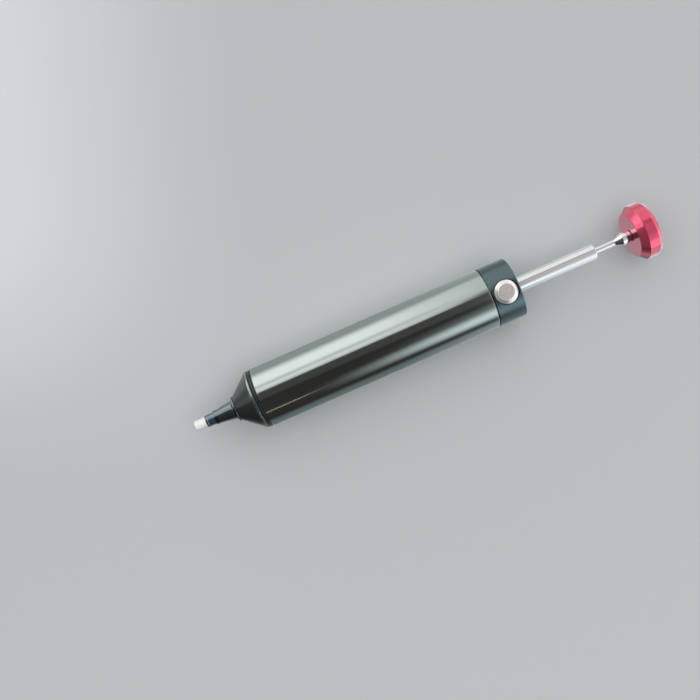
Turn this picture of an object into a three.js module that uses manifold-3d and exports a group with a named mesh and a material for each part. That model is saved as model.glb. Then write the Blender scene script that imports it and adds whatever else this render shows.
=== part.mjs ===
// Desoldering pump: a spring-driven hand pump that sucks molten solder up through a soft tip.
// It lies with its release button up and its plunger out. +X runs from the tip to the knob and
// +Z is up. The origin is under the middle of the pump, on the bench. Sizes are in millimetres.
import * as THREE from "three";
import { mergeVertices } from "three/addons/utils/BufferGeometryUtils.js";
import Module from "manifold-3d";

const wasm = await Module();
wasm.setup();

// ---- Clearances and facets -------------------------------------------------------------------

const FIT = 0.1; // a side, between pieces that are screwed, pressed or glued together
const SEAT = 0.1; // end gap between two faces that sit against each other
const RUN = 0.3; // a side, between pieces that move on each other
const OVERCUT = 1; // how far a cutting tool runs past the face it opens
const SIDES = 36; // flats round a turned piece
const WIRE_SIDES = 6;
const O_RING_SIDES = 8;
const WIRE_STEPS_PER_TURN = 12;

// ---- Driving dimensions ----------------------------------------------------------------------

const BARREL = { diameter: 24, wall: 1.5, length: 96.5, chamfer: 0.55 };

// The suction end: a soft tube in a thin ferrule, in a tapered neck, in a screw-off cone.
const TUBE = { diameter: 4.2, bore: 2.3, length: 19, free: 4.7, edge: 0.4 };
const FERRULE = { wall: 0.3, shown: 3.6, held: 3, chamfer: 0.25 };
const NECK = {
  noseLength: 1.2,
  noseStep: 0.45,
  taperLength: 6.5,
  taperStep: 1,
  flareLength: 1.2,
  flareStep: 1.25,
  flareBend: { along: 0.45, out: 0.3 }, // where the flare's one bend lies, as shares of its size
  land: 0.6,
  stemLength: 5.4,
  stemWall: 1,
  bore: 2.9,
};
const CONE = { length: 8.1, band: 0.85, inset: 0.15, spigot: 7.8, spigotWall: 2.2, edge: 0.4 };
const FRONT_RING = { section: 1, slot: 0.6, inset: 0.45 };
const COLLAR = { flange: 0.7, relief: 0.5, reliefDepth: 0.6, sleeve: 8.4, wall: 1.3, inset: 0.05 };

// Inside the barrel: the main spring between its seat and the piston.
const SPRING_SEAT = { thickness: 1, width: 3.2 };
const MAIN_SPRING = { wire: 1.4, turns: 12.5, deadTurns: 1, sideGap: 1.3 };
const THRUST_WASHER = { thickness: 1.2 };
const PISTON = { length: 8.4, grooveWidth: 2.2, chamfer: 0.6 };
const PISTON_SEAL = { section: 1.8, boreGap: 0.15 };
const BACK_WASHER = { thickness: 1.2, inset: 1.4 };
const NUT = { flats: 7, thickness: 3.2 };
const BUMPER = { thickness: 1.8, inset: 1.2 };

// The plunger rod: a stud, the thick rod, the latch neck, a cone, a collar and the knob's stud.
const ROD = {
  diameter: 6,
  stud: 4,
  studTail: 1.4,
  shown: 34.2,
  shoulderChamfer: 0.2,
  neckDiameter: 2.4,
  neckSpare: 0.3,
  coneLength: 2.9,
  collarDiameter: 4.8,
  collarLength: 3.8,
  collarChamfer: 0.3,
  knobStud: 6,
};

// The release button: a pin across the cap with a slot for the rod, pushed up by a small spring.
const BUTTON = {
  slotWall: 0.85,
  headStep: 0.5,
  headLength: 2.6,
  below: 6.2,
  press: 1.8,
  bevel: 0.65,
  bevelWidth: 1.3,
  dishStep: 0.3,
  sunk: 0.1,
};
const BUTTON_SPRING = { wire: 0.5, turns: 4, deadTurns: 0.75, diameter: 5.4, pocket: 1.5 };
const CAP = { rim: 0.6, proud: 0.1, relief: 0.3, reliefDepth: 0.7, edge: 0.5, floor: 2.1, spigot: 8.4 };
const BUSH = { wall: 0.3, proud: 0.8 };

// The knob: a flat face, a flare out to the rim and a chamfer at the back.
const KNOB = {
  diameter: 22.3,
  faceDiameter: 17.8,
  flare: 2.5,
  rim: 4.2,
  backChamfer: 1.6,
  backInset: 1.35,
};

// ---- Radii that follow from them -------------------------------------------------------------

const barrelRadius = BARREL.diameter / 2;
const boreRadius = barrelRadius - BARREL.wall;
const rodRadius = ROD.diameter / 2;
const studRadius = ROD.stud / 2;
const tubeRadius = TUBE.diameter / 2;
const ferruleBore = tubeRadius + FIT / 2;
const ferruleRadius = ferruleBore + FERRULE.wall;
const neckNoseRadius = ferruleRadius - FIT / 2;
const neckFrontRadius = neckNoseRadius + NECK.noseStep;
const neckRearRadius = neckFrontRadius + NECK.taperStep;
const neckFlangeRadius = neckRearRadius + NECK.flareStep;
const neckStemRadius = tubeRadius + FIT + NECK.stemWall;
const collarBore = boreRadius - FIT - COLLAR.wall;
const spigotRadius = collarBore - FIT;
const spigotBore = spigotRadius - CONE.spigotWall;
const coneRadius = barrelRadius - CONE.inset;
const springRadius = boreRadius - MAIN_SPRING.sideGap - MAIN_SPRING.wire / 2;
const pistonRadius = boreRadius - RUN;
const sealRadius = boreRadius - PISTON_SEAL.boreGap - PISTON_SEAL.section / 2;
const sealGrooveRadius = sealRadius - PISTON_SEAL.section / 2 - FIT;
const nutCornerRadius = NUT.flats / Math.sqrt(3);
const capRadius = barrelRadius + CAP.proud;
const buttonPinRadius = rodRadius + RUN + BUTTON.slotWall;
const buttonHeadRadius = buttonPinRadius + BUTTON.headStep;
const bushRadius = rodRadius + RUN + BUSH.wall;
const knobRadius = KNOB.diameter / 2;

// ---- Places along the axis, from the barrel's front edge -------------------------------------

const collarFront = -(SEAT + COLLAR.relief + COLLAR.flange);
const coneRear = collarFront - FRONT_RING.slot;
const coneFront = coneRear - CONE.band - CONE.length;
const neckRear = coneFront - SEAT;
const neckTaperRear = neckRear - NECK.land - NECK.flareLength;
const neckTaperFront = neckTaperRear - NECK.taperLength;
const neckFront = neckTaperFront - NECK.noseLength;
const ferruleFront = neckFront - SEAT - FERRULE.shown;
const tubeFront = ferruleFront - TUBE.free;
const tubeRear = tubeFront + TUBE.length;
const springSeatFront = COLLAR.sleeve + SEAT;
const springSeatRear = springSeatFront + SPRING_SEAT.thickness;
const capFront = BARREL.length + SEAT;
const capLength = 2 * (buttonHeadRadius + RUN + CAP.rim) + CAP.relief;
const capRear = capFront + capLength;
const capSpigotFront = capFront - CAP.spigot;
const buttonPlace = capRear - CAP.rim - RUN - buttonHeadRadius;
const bumperFront = capSpigotFront - SEAT - BUMPER.thickness;
const backWasherRear = bumperFront - RUN;
const pistonRear = backWasherRear - BACK_WASHER.thickness - SEAT;
const pistonFront = pistonRear - PISTON.length;
const nutFront = pistonFront - SEAT - NUT.thickness;
const thrustWasherFront = pistonFront - SEAT - THRUST_WASHER.thickness;
const latchShoulder = capRear + ROD.shown;
const rodNeckRear = latchShoulder + 2 * buttonPinRadius + ROD.neckSpare;
const rodCollarFront = rodNeckRear + ROD.coneLength;
const rodCollarRear = rodCollarFront + ROD.collarLength;
const knobFront = rodCollarRear + SEAT;
const knobRear = knobFront + KNOB.flare + KNOB.rim + KNOB.backChamfer;

// ---- Finishes --------------------------------------------------------------------------------

const metal = (color, roughness) => new THREE.MeshStandardMaterial({ color, roughness, metalness: 1 });
const soft = (color, roughness) => new THREE.MeshStandardMaterial({ color, roughness, metalness: 0 });

const greyAnodised = metal("#8fa09c", 0.3);
const slateAnodised = metal("#56686c", 0.35);
const darkAnodised = metal("#4b5653", 0.32);
const blueSteel = metal("#5c6b76", 0.25);
const redAnodised = metal("#d04a66", 0.22);
const polishedSteel = metal("#d9dadb", 0.12);
const springSteel = metal("#9a9c9e", 0.35);
const zincSteel = metal("#b9bbb8", 0.4);
const whiteAcetal = soft("#e4e2da", 0.5);
const blackRubber = soft("#17181a", 0.7);
const whiteSilicone = soft("#ececea", 0.55);

// ---- Shaping ---------------------------------------------------------------------------------

/** A closed outline, turned about the lathe's own Y axis, which takes it from the low end up. */
function spun(outline, sides) {
  const points = outline.map(([along, radius]) => new THREE.Vector2(radius, along)).reverse();
  if (points[0].x > 0) points.push(points[0].clone());
  return new THREE.LatheGeometry(points, sides);
}

/** Turned about X. The outline is [x, radius] pairs, over the outside from rear to front. */
function turnedAlongX(outline, sides = SIDES) {
  return spun(outline, sides).rotateZ(-Math.PI / 2);
}

/** Turned about Z. The outline is [z, radius] pairs, over the outside from top to bottom. */
function turnedAlongZ(outline, sides = SIDES) {
  return spun(outline, sides).rotateX(Math.PI / 2);
}

/** A plain ring about X. */
function ringAlongX(front, rear, inner, outer) {
  return turnedAlongX([
    [rear, inner],
    [rear, outer],
    [front, outer],
    [front, inner],
  ]);
}

/** An O-ring about X. */
function oRingAlongX(place, radius, section) {
  return new THREE.TorusGeometry(radius, section / 2, O_RING_SIDES, SIDES).rotateY(Math.PI / 2).translate(place, 0, 0);
}

/** A geometry as a manifold solid. */
function toSolid(geometry) {
  const bare = geometry.clone();
  bare.deleteAttribute("normal");
  bare.deleteAttribute("uv");
  const merged = mergeVertices(bare, 1e-4);
  return new wasm.Manifold(
    new wasm.Mesh({
      numProp: 3,
      vertProperties: merged.attributes.position.array,
      triVerts: new Uint32Array(merged.index.array),
    }),
  );
}

/** A manifold solid as a geometry. */
function toGeometry(solid) {
  const { numProp, vertProperties, triVerts } = solid.getMesh();
  return new THREE.BufferGeometry()
    .setAttribute("position", new THREE.BufferAttribute(vertProperties, numProp))
    .setIndex(new THREE.BufferAttribute(triVerts, 1));
}

/** A geometry with each of the tools cut out of it. */
function cut(geometry, ...tools) {
  return toGeometry(tools.reduce((left, tool) => left.subtract(toSolid(tool)), toSolid(geometry)));
}

/** The middle line of a coil spring along Z, with closed end turns. */
class SpringLine extends THREE.Curve {
  constructor(radius, length, { wire, turns, deadTurns }) {
    super();
    this.radius = radius;
    this.turns = turns;
    this.deadTurns = deadTurns;
    this.deadRise = deadTurns * wire * 1.15;
    this.liveRise = length - wire - 2 * this.deadRise;
  }

  getPoint(t, target = new THREE.Vector3()) {
    const turn = t * this.turns;
    const live = this.turns - 2 * this.deadTurns;
    const start = Math.min(turn, this.deadTurns) / this.deadTurns;
    const middle = THREE.MathUtils.clamp((turn - this.deadTurns) / live, 0, 1);
    const end = Math.max(turn - this.turns + this.deadTurns, 0) / this.deadTurns;
    const angle = 2 * Math.PI * turn;
    return target.set(
      this.radius * Math.cos(angle),
      this.radius * Math.sin(angle),
      (start + end) * this.deadRise + middle * this.liveRise,
    );
  }
}

/** A coil spring that stands on Z = 0 and reaches to the given length. */
function coilSpring(radius, length, spring) {
  const corners = Array.from({ length: WIRE_SIDES }, (_, i) => {
    const angle = (2 * Math.PI * i) / WIRE_SIDES;
    return new THREE.Vector2(Math.cos(angle), Math.sin(angle)).multiplyScalar(spring.wire / 2);
  });
  return new THREE.ExtrudeGeometry(new THREE.Shape(corners), {
    steps: Math.round(spring.turns * WIRE_STEPS_PER_TURN),
    extrudePath: new SpringLine(radius, length, spring),
  }).translate(0, 0, spring.wire / 2);
}

/** A named mesh. */
function piece(name, geometry, material) {
  const mesh = new THREE.Mesh(geometry, material);
  mesh.name = name;
  return mesh;
}

// ---- The suction end -------------------------------------------------------------------------

function nozzleTube() {
  const bore = TUBE.bore / 2;
  return turnedAlongX([
    [tubeRear, bore],
    [tubeRear, tubeRadius],
    [tubeFront + TUBE.edge, tubeRadius],
    [tubeFront, tubeRadius - TUBE.edge],
    [tubeFront, bore],
  ]);
}

function tipFerrule() {
  const rear = neckFront + FERRULE.held;
  return turnedAlongX([
    [rear, ferruleBore],
    [rear, ferruleRadius],
    [ferruleFront + FERRULE.chamfer, ferruleRadius],
    [ferruleFront, ferruleRadius - FERRULE.chamfer],
    [ferruleFront, ferruleBore],
  ]);
}

/** The tapered neck. Its socket takes the ferrule, and its screwed stem goes into the cone. */
function nozzleNeck() {
  const socketRadius = ferruleRadius + FIT;
  const socketRear = neckFront + FERRULE.held + SEAT;
  const tubeSocket = tubeRadius + FIT;
  const tubeSocketRear = tubeRear + SEAT;
  const stemRear = neckRear + NECK.stemLength;
  return turnedAlongX([
    [stemRear, NECK.bore / 2],
    [stemRear, neckStemRadius],
    [neckRear, neckStemRadius],
    [neckRear, neckFlangeRadius],
    [neckRear - NECK.land, neckFlangeRadius],
    [
      neckTaperRear + NECK.flareBend.along * NECK.flareLength,
      neckRearRadius + NECK.flareBend.out * NECK.flareStep,
    ],
    [neckTaperRear, neckRearRadius],
    [neckTaperFront, neckFrontRadius],
    [neckFront, socketRadius + FERRULE.wall],
    [neckFront, socketRadius],
    [socketRear, socketRadius],
    [socketRear, tubeSocket],
    [tubeSocketRear, tubeSocket],
    [tubeSocketRear, NECK.bore / 2],
  ]);
}

/** The cone that screws off to empty the pump. A groove in its back holds the front O-ring. */
function nozzleCone() {
  const spigotRear = coneRear + CONE.spigot;
  const socketRadius = neckStemRadius + FIT;
  const socketRear = neckRear + NECK.stemLength + SEAT;
  const grooveOuter = barrelRadius - FRONT_RING.inset + FIT;
  const grooveInner = grooveOuter - FRONT_RING.section - 2 * FIT;
  const grooveFloor = collarFront - FRONT_RING.section - 2 * SEAT;
  return turnedAlongX([
    [spigotRear, spigotBore],
    [spigotRear, spigotRadius],
    [coneRear, spigotRadius],
    [coneRear, grooveInner],
    [grooveFloor, grooveInner],
    [grooveFloor, grooveOuter],
    [coneRear, grooveOuter],
    [coneRear, coneRadius],
    [coneRear - CONE.band + CONE.edge, coneRadius],
    [coneRear - CONE.band - CONE.edge, coneRadius - CONE.edge],
    [coneFront, neckFlangeRadius],
    [coneFront, socketRadius],
    [socketRear, socketRadius],
    [socketRear, NECK.bore / 2 + FIT],
    [socketRear + SEAT, NECK.bore / 2 + FIT],
    [coneRear + CONE.edge, spigotBore],
  ]);
}

/** The collar screwed into the barrel's front, with the thin flange that shows. */
function frontCollar() {
  const flangeRear = collarFront + COLLAR.flange;
  return turnedAlongX([
    [COLLAR.sleeve, collarBore],
    [COLLAR.sleeve, boreRadius - FIT],
    [-SEAT, boreRadius - FIT],
    [-SEAT, barrelRadius - COLLAR.reliefDepth],
    [flangeRear, barrelRadius - COLLAR.reliefDepth],
    [flangeRear, barrelRadius - COLLAR.inset],
    [collarFront, barrelRadius - COLLAR.inset],
    [collarFront, collarBore],
  ]);
}

function frontORing() {
  const radius = barrelRadius - FRONT_RING.inset - FRONT_RING.section / 2;
  const place = collarFront - SEAT - FRONT_RING.section / 2;
  return oRingAlongX(place, radius, FRONT_RING.section);
}

// ---- The barrel and what stays still in it ---------------------------------------------------

function barrelShell() {
  const { length, chamfer } = BARREL;
  return turnedAlongX([
    [length, boreRadius],
    [length, barrelRadius - chamfer],
    [length - chamfer, barrelRadius],
    [chamfer, barrelRadius],
    [0, barrelRadius - chamfer],
    [0, boreRadius],
  ]);
}

function springSeat() {
  const outer = boreRadius - RUN;
  return ringAlongX(springSeatFront, springSeatRear, outer - SPRING_SEAT.width, outer);
}

function mainSpring() {
  const front = springSeatRear + SEAT;
  const length = thrustWasherFront - SEAT - front;
  return coilSpring(springRadius, length, MAIN_SPRING).rotateY(Math.PI / 2).translate(front, 0, 0);
}

function rearBumper() {
  return ringAlongX(
    bumperFront,
    bumperFront + BUMPER.thickness,
    rodRadius + RUN,
    boreRadius - FIT - BUMPER.inset,
  );
}

/** The rear cap, screwed into the barrel and bored across for the button and its spring. */
function rearCap() {
  const rodBore = rodRadius + RUN;
  const reliefRear = capFront + CAP.relief;
  const head = capRadius - BUTTON.sunk - BUTTON.headLength;
  const turned = turnedAlongX([
    [capRear, rodBore],
    [capRear, capRadius - CAP.edge],
    [capRear - CAP.edge, capRadius],
    [reliefRear, capRadius],
    [reliefRear, capRadius - CAP.reliefDepth],
    [capFront, capRadius - CAP.reliefDepth],
    [capFront, boreRadius - FIT],
    [capSpigotFront, boreRadius - FIT],
    [capSpigotFront, rodBore],
  ]);
  const bushSocket = turnedAlongX([
    [capRear + OVERCUT, 0],
    [capRear + OVERCUT, bushRadius + FIT],
    [buttonPlace, bushRadius + FIT],
    [buttonPlace, 0],
  ]);
  const well = turnedAlongZ([
    [capRadius + OVERCUT, 0],
    [capRadius + OVERCUT, buttonHeadRadius + RUN],
    [head - BUTTON.press - RUN, buttonHeadRadius + RUN],
    [head - BUTTON.press - RUN, buttonPinRadius + RUN],
    [CAP.floor - capRadius, buttonPinRadius + RUN],
    [CAP.floor - capRadius, 0],
  ]).translate(buttonPlace, 0, 0);
  return cut(turned, bushSocket, well);
}

function rodBush() {
  const front = buttonPlace + buttonPinRadius + RUN + SEAT;
  return ringAlongX(front, capRear + BUSH.proud, rodRadius + RUN, bushRadius);
}

// ---- The release button ----------------------------------------------------------------------

/** The slot across the button: as wide as the rod, and higher by the button's travel. */
function buttonSlot() {
  const radius = rodRadius + RUN;
  const slot = new THREE.Shape();
  slot.absarc(0, 0, radius, Math.PI, 2 * Math.PI, false);
  slot.absarc(0, BUTTON.press, radius, 0, Math.PI, false);
  const length = 2 * (buttonPinRadius + OVERCUT);
  return new THREE.ExtrudeGeometry(slot, { depth: length, bevelEnabled: false, curveSegments: SIDES / 4 })
    .translate(0, 0, -length / 2)
    .rotateX(Math.PI / 2)
    .rotateZ(Math.PI / 2);
}

/** The button: a bevelled, dished head on a pin with the rod's slot and a pocket for its spring. */
function releaseButton() {
  const top = capRadius - BUTTON.sunk;
  const headBottom = top - BUTTON.headLength;
  const dishRadius = buttonHeadRadius - BUTTON.bevelWidth;
  const pocketRadius = BUTTON_SPRING.diameter / 2 + RUN;
  const turned = turnedAlongZ([
    [top - BUTTON.dishStep, 0],
    [top - BUTTON.dishStep, dishRadius],
    [top, dishRadius],
    [top, buttonHeadRadius - BUTTON.bevel / 2],
    [top - BUTTON.bevel, buttonHeadRadius],
    [headBottom, buttonHeadRadius],
    [headBottom, buttonPinRadius],
    [-BUTTON.below, buttonPinRadius],
    [-BUTTON.below, pocketRadius],
    [BUTTON_SPRING.pocket - BUTTON.below, pocketRadius],
    [BUTTON_SPRING.pocket - BUTTON.below, 0],
  ]);
  return cut(turned, buttonSlot()).translate(buttonPlace, 0, 0);
}

function buttonSpring() {
  const bottom = CAP.floor - capRadius + SEAT;
  const length = BUTTON_SPRING.pocket - BUTTON.below - SEAT - bottom;
  const radius = (BUTTON_SPRING.diameter - BUTTON_SPRING.wire) / 2;
  return coilSpring(radius, length, BUTTON_SPRING).translate(buttonPlace, 0, bottom);
}

// ---- The plunger -----------------------------------------------------------------------------

function thrustWasher() {
  return ringAlongX(
    thrustWasherFront,
    thrustWasherFront + THRUST_WASHER.thickness,
    nutCornerRadius + RUN,
    pistonRadius,
  );
}

function pistonBody() {
  const middle = (pistonFront + pistonRear) / 2;
  const grooveHalf = PISTON.grooveWidth / 2;
  return turnedAlongX([
    [pistonRear, studRadius + FIT],
    [pistonRear, pistonRadius - PISTON.chamfer],
    [pistonRear - PISTON.chamfer, pistonRadius],
    [middle + grooveHalf, pistonRadius],
    [middle + grooveHalf, sealGrooveRadius],
    [middle - grooveHalf, sealGrooveRadius],
    [middle - grooveHalf, pistonRadius],
    [pistonFront + PISTON.chamfer, pistonRadius],
    [pistonFront, pistonRadius - PISTON.chamfer],
    [pistonFront, studRadius + FIT],
  ]);
}

function pistonSeal() {
  return oRingAlongX((pistonFront + pistonRear) / 2, sealRadius, PISTON_SEAL.section);
}

function backWasher() {
  return ringAlongX(
    backWasherRear - BACK_WASHER.thickness,
    backWasherRear,
    studRadius + FIT,
    pistonRadius - BACK_WASHER.inset,
  );
}

function pistonNut() {
  const hexagon = new THREE.CylinderGeometry(nutCornerRadius, nutCornerRadius, NUT.thickness, 6)
    .rotateZ(Math.PI / 2)
    .translate(nutFront + NUT.thickness / 2, 0, 0);
  const hole = turnedAlongX([
    [pistonFront, 0],
    [pistonFront, studRadius + FIT],
    [nutFront - OVERCUT, studRadius + FIT],
    [nutFront - OVERCUT, 0],
  ]);
  return cut(hexagon, hole);
}

function plungerRod() {
  const neckRadius = ROD.neckDiameter / 2;
  const collarRadius = ROD.collarDiameter / 2;
  const frontShoulder = backWasherRear + SEAT;
  return turnedAlongX([
    [knobFront + ROD.knobStud, 0],
    [knobFront + ROD.knobStud, studRadius],
    [rodCollarRear, studRadius],
    [rodCollarRear, collarRadius - ROD.collarChamfer],
    [rodCollarRear - ROD.collarChamfer, collarRadius],
    [rodCollarFront, collarRadius],
    [rodNeckRear, neckRadius],
    [latchShoulder, neckRadius],
    [latchShoulder, rodRadius - ROD.shoulderChamfer],
    [latchShoulder - ROD.shoulderChamfer, rodRadius],
    [frontShoulder, rodRadius],
    [frontShoulder, studRadius],
    [nutFront - ROD.studTail, studRadius],
    [nutFront - ROD.studTail, 0],
  ]);
}

function knobBody() {
  const rimFront = knobFront + KNOB.flare;
  const socketRear = knobFront + ROD.knobStud + RUN;
  return turnedAlongX([
    [knobRear, 0],
    [knobRear, knobRadius - KNOB.backInset],
    [knobRear - KNOB.backChamfer, knobRadius],
    [rimFront, knobRadius],
    [knobFront, KNOB.faceDiameter / 2],
    [knobFront, studRadius + FIT],
    [socketRear, studRadius + FIT],
    [socketRear, 0],
  ]);
}

// ---- Assembly --------------------------------------------------------------------------------

const suctionEnd = new THREE.Group().add(
  piece("nozzle_tube", nozzleTube(), whiteSilicone),
  piece("tip_ferrule", tipFerrule(), blueSteel),
  piece("nozzle_neck", nozzleNeck(), darkAnodised),
  piece("nozzle_cone", nozzleCone(), darkAnodised),
  piece("front_o_ring", frontORing(), blackRubber),
  piece("front_collar", frontCollar(), slateAnodised),
);

const housing = new THREE.Group().add(
  piece("barrel", barrelShell(), greyAnodised),
  piece("spring_seat", springSeat(), zincSteel),
  piece("main_spring", mainSpring(), springSteel),
  piece("rear_bumper", rearBumper(), blackRubber),
  piece("rear_cap", rearCap(), slateAnodised),
  piece("rod_bush", rodBush(), polishedSteel),
);

const release = new THREE.Group().add(
  piece("release_button", releaseButton(), polishedSteel),
  piece("button_spring", buttonSpring(), springSteel),
);

const plunger = new THREE.Group().add(
  piece("thrust_washer", thrustWasher(), zincSteel),
  piece("piston", pistonBody(), whiteAcetal),
  piece("piston_seal", pistonSeal(), blackRubber),
  piece("piston_washer", backWasher(), zincSteel),
  piece("piston_nut", pistonNut(), zincSteel),
  piece("plunger_rod", plungerRod(), polishedSteel),
  piece("knob", knobBody(), redAnodised),
);

const pump = new THREE.Group().add(suctionEnd, housing, release, plunger);
pump.position.set(-(tubeFront + knobRear) / 2, 0, capRadius);

const group = new THREE.Group().add(pump);
export default group;
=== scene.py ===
"""The looks of a desoldering pump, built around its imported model.

The pump lies along X, with its suction tip at the low end and its knob at the high end, its
release button up and its plunger out. Every size in this file is in millimetres; MM turns it to
the scene's metres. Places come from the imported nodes, so each piece lies where its node lies.
"""

import logging
import math
from dataclasses import dataclass
from enum import Enum

import bmesh
import bpy
from bmesh.types import BMEdge, BMesh, BMVert
from bpy.types import Material, Mesh, Node, NodeSocket, NodeTree, Object
from mathutils import Matrix, Vector

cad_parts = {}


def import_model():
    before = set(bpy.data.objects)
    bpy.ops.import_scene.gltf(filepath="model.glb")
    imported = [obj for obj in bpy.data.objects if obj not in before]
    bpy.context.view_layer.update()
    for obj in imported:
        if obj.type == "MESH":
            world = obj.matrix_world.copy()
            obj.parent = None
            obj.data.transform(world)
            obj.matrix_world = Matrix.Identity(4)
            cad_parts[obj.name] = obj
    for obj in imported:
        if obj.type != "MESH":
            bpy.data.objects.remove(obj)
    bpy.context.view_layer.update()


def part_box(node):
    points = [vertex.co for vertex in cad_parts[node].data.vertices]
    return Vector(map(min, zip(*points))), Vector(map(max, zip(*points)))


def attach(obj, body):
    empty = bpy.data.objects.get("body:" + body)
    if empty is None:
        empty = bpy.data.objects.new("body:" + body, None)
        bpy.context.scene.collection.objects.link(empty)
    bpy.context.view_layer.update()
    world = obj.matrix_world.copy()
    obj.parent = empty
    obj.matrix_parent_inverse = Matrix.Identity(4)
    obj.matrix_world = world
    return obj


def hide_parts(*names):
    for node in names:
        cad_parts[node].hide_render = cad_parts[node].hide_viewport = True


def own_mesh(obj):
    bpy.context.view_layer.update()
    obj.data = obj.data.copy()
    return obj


LOG = logging.getLogger("desoldering_pump")
Inputs = dict[str, object]  # a node's inputs, by their names
Place = tuple[float, float]  # along an axis, and out from it
MM = 0.001
FULL_TURN = 2 * math.pi
FIT = 0.1  # gap a side between pieces that are fastened together
RUN = 0.3  # gap a side between pieces that move on each other
ROUND_SEGMENTS = 4  # flats in a rounded edge
O_RING_SIDES = 20  # flats round an O-ring's section
HOLD = 0.06  # how far past a rounded edge the flat face is pinned, so that it shades as flat
MERGE = 0.002  # points nearer than this are one point
SHARP_ANGLE = math.radians(32)  # edges that bend more than this shade as sharp ones


class Body(Enum):
    """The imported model's moving bodies."""

    HOUSING = "housing"
    FOLLOWER = "spring_follower"
    PLUNGER = "plunger"
    BUTTON = "button"


class Axis(Enum):
    """The line that a piece was turned about."""

    ALONG = "X"
    UPRIGHT = "Z"


# ---- Colours and nodes


def linear(colour: str) -> tuple[float, float, float, float]:
    """Turns an sRGB hex colour to the linear values that shaders take.

    Args:
        colour: Six hex digits after a hash sign.

    Returns:
        Red, green, blue and an alpha of 1.
    """
    channels = [int(colour[i : i + 2], 16) / 255 for i in (1, 3, 5)]
    red, green, blue = (c / 12.92 if c <= 0.04045 else ((c + 0.055) / 1.055) ** 2.4 for c in channels)
    return red, green, blue, 1.0


def add_node(tree: NodeTree, kind: str, inputs: dict | None = None, **settings: object) -> Node:
    """Adds a node with its settings and links.

    Args:
        tree: The tree that the node goes into.
        kind: The node's type name.
        inputs: A value or an output socket for each input, by the input's name or number.
        settings: Values for the node's own properties.

    Returns:
        The new node.
    """
    node = tree.nodes.new(kind)
    for name, value in settings.items():
        setattr(node, name, value)
    for key, value in (inputs or {}).items():
        if isinstance(value, NodeSocket):
            tree.links.new(value, node.inputs[key])
        else:
            node.inputs[key].default_value = value
    return node


@dataclass(frozen=True)
class Lathe:
    """The line that a piece was turned about: a point on it, in millimetres, and its direction."""

    centre: Vector
    axis: Axis = Axis.ALONG

    def direction(self) -> Vector:
        """The axis as a unit vector."""
        return Vector((1, 0, 0)) if self.axis is Axis.ALONG else Vector((0, 0, 1))

    def point(self, along: float, radius: float) -> Vector:
        """A point at a place along the axis and at a radius from it, in metres."""
        outward = Vector((0, 0, 1)) if self.axis is Axis.ALONG else Vector((1, 0, 0))
        return (self.centre + self.direction() * along + outward * radius) * MM

    def centred(self, tree: NodeTree) -> NodeSocket:
        """Object coordinates, moved so that they start at the lathe's point."""
        place = add_node(tree, "ShaderNodeTexCoord").outputs["Object"]
        moved = {"Vector": place, "Location": tuple(-self.centre * MM)}
        return add_node(tree, "ShaderNodeMapping", moved).outputs["Vector"]

    def turned(self, tree: NodeTree) -> NodeSocket:
        """Coordinates as the tool moves, on which a pattern runs round the piece.

        Args:
            tree: The material's tree.

        Returns:
            The vector output: along the axis, out from it, and nothing.
        """
        split = add_node(tree, "ShaderNodeSeparateXYZ", {"Vector": self.centred(tree)}).outputs
        sideways = [split[a] for a in "XYZ" if a != self.axis.value]
        flat = add_node(tree, "ShaderNodeCombineXYZ", dict(enumerate(sideways))).outputs["Vector"]
        outward = add_node(tree, "ShaderNodeVectorMath", {0: flat}, operation="LENGTH").outputs["Value"]
        place = {"X": split[self.axis.value], "Y": outward}
        return add_node(tree, "ShaderNodeCombineXYZ", place).outputs["Vector"]


# ---- Finishes


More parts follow.
